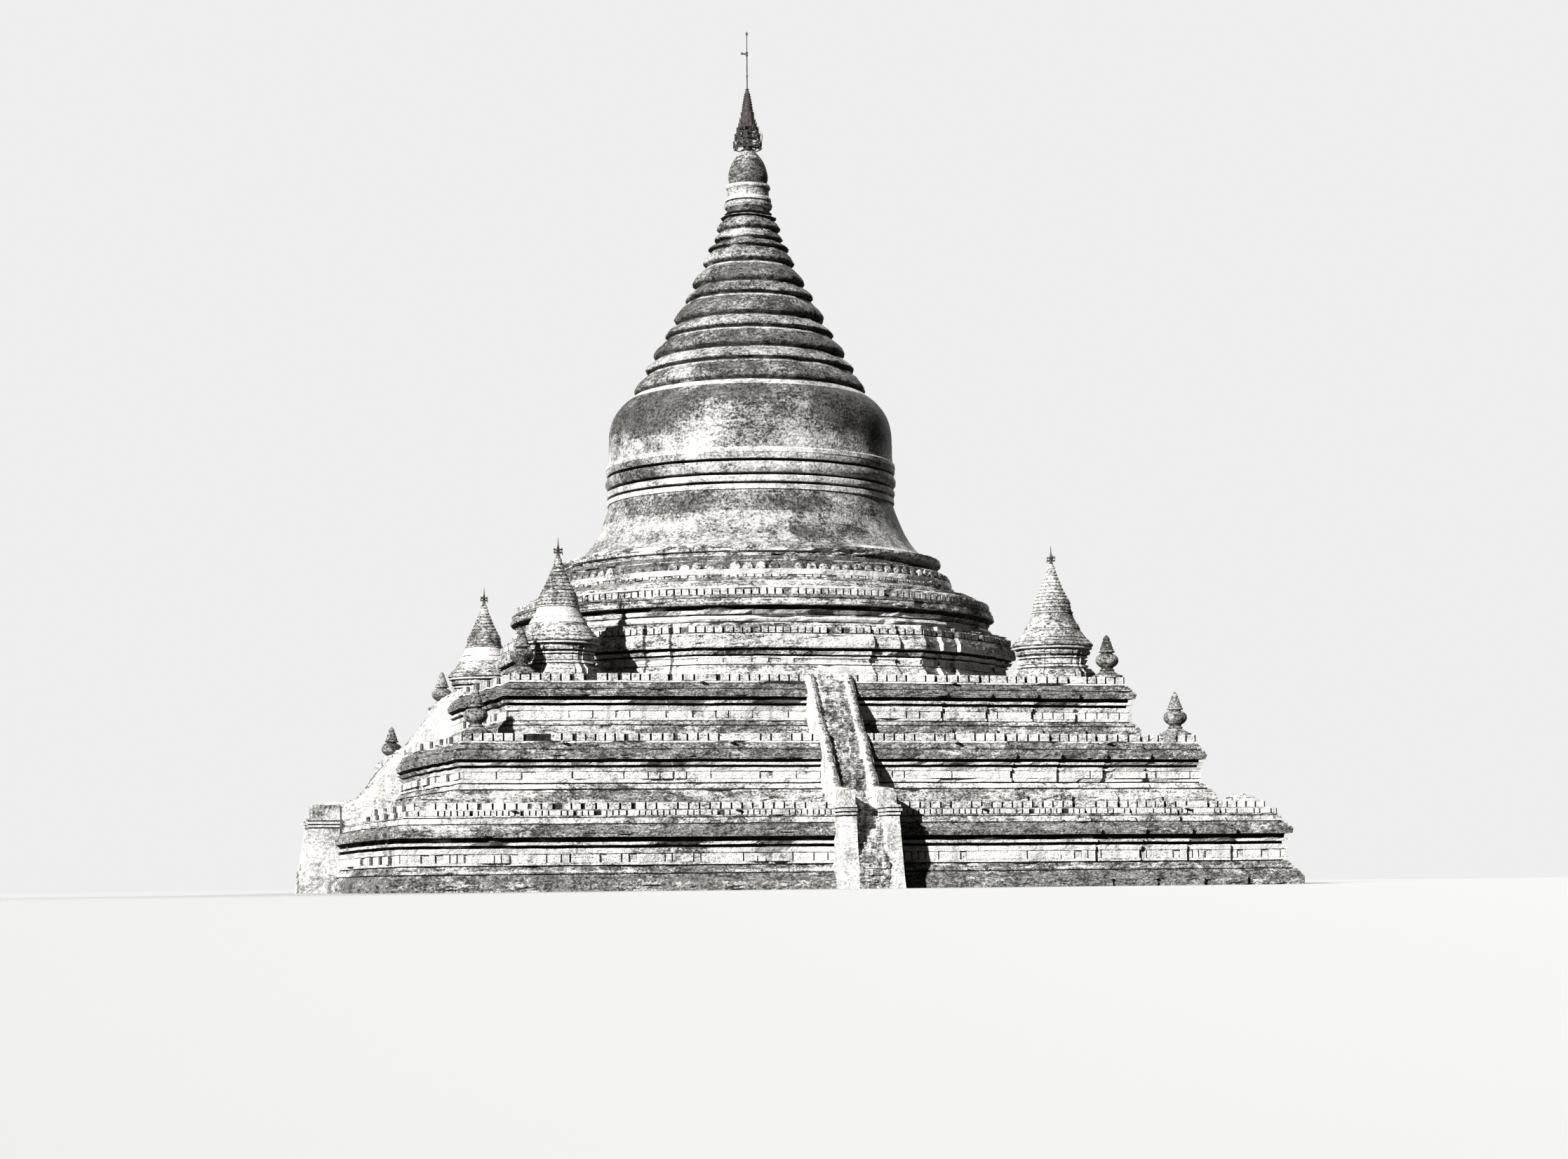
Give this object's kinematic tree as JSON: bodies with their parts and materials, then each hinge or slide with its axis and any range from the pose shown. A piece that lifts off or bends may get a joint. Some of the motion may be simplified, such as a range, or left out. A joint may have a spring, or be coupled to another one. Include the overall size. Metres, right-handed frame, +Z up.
{
  "type": "brick stupa, 1:2 scale model",
  "caption": "Brick stupa, scale model 1:2: square terraces with stairs, octagonal and round tiers, bell, ringed spire and iron crown with a turning vane.",
  "frame": {"origin": "on the ground under the spire, at the middle of the footprint", "axes": "+Z up, the front stair faces -Y, +X to the right of someone who looks at the front stair"},
  "size_m": [20.6788, 20.6788, 19.9935],
  "materials": {
    "weathered_brick": "bare weathered brickwork with dark stains and remains of lime plaster",
    "lime_stucco": "worn pale lime stucco, mottled with dark growth",
    "wrought_iron": "dark rusted wrought iron"
  },
  "bodies": {
    "stupa": {"lower_terrace": "weathered_brick", "middle_terrace": "weathered_brick", "upper_terrace": "weathered_brick", "front_stair_flight": "weathered_brick", "right_stair_flight": "weathered_brick", "back_stair_flight": "weathered_brick", "left_stair_flight": "weathered_brick", "front_stair_left_parapet": "lime_stucco", "front_stair_right_parapet": "lime_stucco", "right_stair_left_parapet": "lime_stucco", "right_stair_right_parapet": "lime_stucco", "back_stair_left_parapet": "lime_stucco", "back_stair_right_parapet": "lime_stucco", "left_stair_left_parapet": "lime_stucco", "left_stair_right_parapet": "lime_stucco", "octagonal_tier": "weathered_brick", "round_tier": "weathered_brick", "lotus_ring": "weathered_brick", "bell_foot": "lime_stucco", "bell_band": "lime_stucco", "bell": "lime_stucco", "ringed_spire": "lime_stucco", "spire_collar": "lime_stucco", "spire_bud": "lime_stucco", "crown_cone": "wrought_iron", "crown_lower_hoop": "wrought_iron", "crown_upper_hoop": "wrought_iron", "finial_rod": "wrought_iron", "corner_stupa_front_left": "weathered_brick", "corner_stupa_front_right": "weathered_brick", "corner_stupa_back_right": "weathered_brick", "corner_stupa_back_left": "weathered_brick", "corner_finial_front_left": "wrought_iron", "corner_finial_front_right": "wrought_iron", "corner_finial_back_right": "wrought_iron", "corner_finial_back_left": "wrought_iron", "upper_pot_front_left": "lime_stucco", "upper_pot_front_right": "lime_stucco", "upper_pot_back_right": "lime_stucco", "upper_pot_back_left": "lime_stucco", "middle_pot_front_left": "lime_stucco", "middle_pot_front_right": "lime_stucco", "middle_pot_back_right": "lime_stucco", "middle_pot_back_left": "lime_stucco"},
    "vane": {"vane": "wrought_iron"}
  },
  "joints": [
    {"name": "vane_turn", "type": "hinge", "parent": "stupa", "child": "vane", "pos_m": [0, 0, 19.4535], "axis": [0, 0, 1], "continuous": true}
  ]
}
